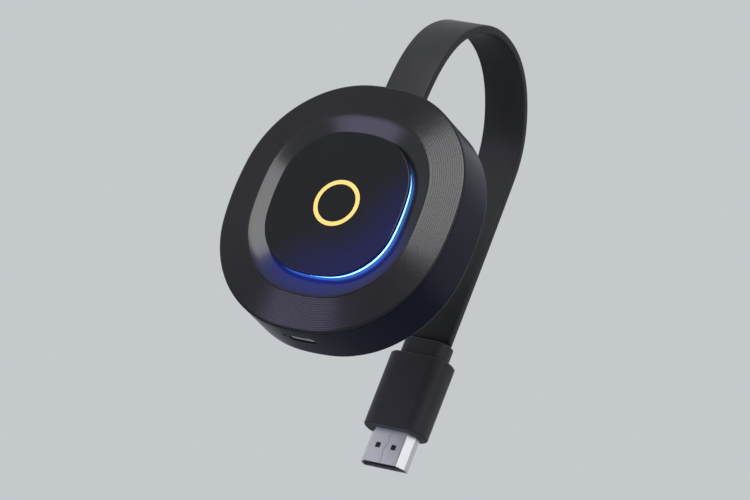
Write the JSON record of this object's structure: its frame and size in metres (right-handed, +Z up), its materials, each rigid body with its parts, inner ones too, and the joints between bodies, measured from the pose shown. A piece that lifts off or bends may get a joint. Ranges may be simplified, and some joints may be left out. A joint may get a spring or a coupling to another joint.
{
  "type": "streaming media player",
  "caption": "Rounded disc media dongle with a lit raised cap and grooved bevel, a micro-USB port, a reset pinhole and a flat lead that loops back to an HDMI plug.",
  "frame": {"origin": "middle of the HDMI plug's mouth", "axes": "+Z up the plug, from its mouth into its body and towards the disc's lead outlet; the disc's front looks along -Y; +X to the right seen from the front"},
  "size_m": [0.0684, 0.0737, 0.1181],
  "materials": {
    "ring_plastic": "satin moulded, fine concentric grooves",
    "gloss_black": "gloss",
    "gold": "bright",
    "adhesive": "soft",
    "light_guide": "translucent, lit blue",
    "case_plastic": "fine satin",
    "steel": "stamped",
    "board": "solder mask",
    "chip": "moulded",
    "pad": "soft",
    "copper": "plain",
    "led": "plain",
    "ceramic": "plain",
    "rubber": "matte",
    "lead": "satin jacket",
    "nickel": "plated",
    "plug_plastic": "fine matte"
  },
  "bodies": {
    "player": {"front_ring": "ring_plastic", "cap": "gloss_black", "mark_ring": "gold", "cap_adhesive": "adhesive", "light_guide": "light_guide", "rear_case": "case_plastic", "rear_plate": "steel", "main_board": "board", "processor": "chip", "thermal_pad": "pad", "heat_spreader": "copper", "memory_chips": "chip", "flash_chip": "chip", "crystal": "steel", "leds": "led", "antenna_left": "steel", "antenna_right": "steel", "capacitors": "ceramic", "inductors": "chip", "wifi_board": "board", "wifi_shield": "steel", "board_screws": "steel", "usb_shell": "steel", "usb_tongue": "chip", "usb_contacts": "gold", "switch_body": "chip", "cable_grommet": "rubber", "cable_tail": "lead", "cable_header": "chip", "header_plug": "ceramic", "cable_clamp": "steel", "clamp_screws": "steel", "ribbon_cable": "lead", "plug_shell": "nickel", "plug_insulator": "chip", "plug_contacts": "gold", "plug_body": "plug_plastic", "plug_collar": "plug_plastic"},
    "reset_button": {"switch_stem": "ceramic"}
  },
  "joints": [
    {"name": "reset_press", "type": "slide", "parent": "player", "child": "reset_button", "axis": [0, 0, 1], "range_m": [0, 0.00025], "stiffness_N_per_m": 400}
  ]
}
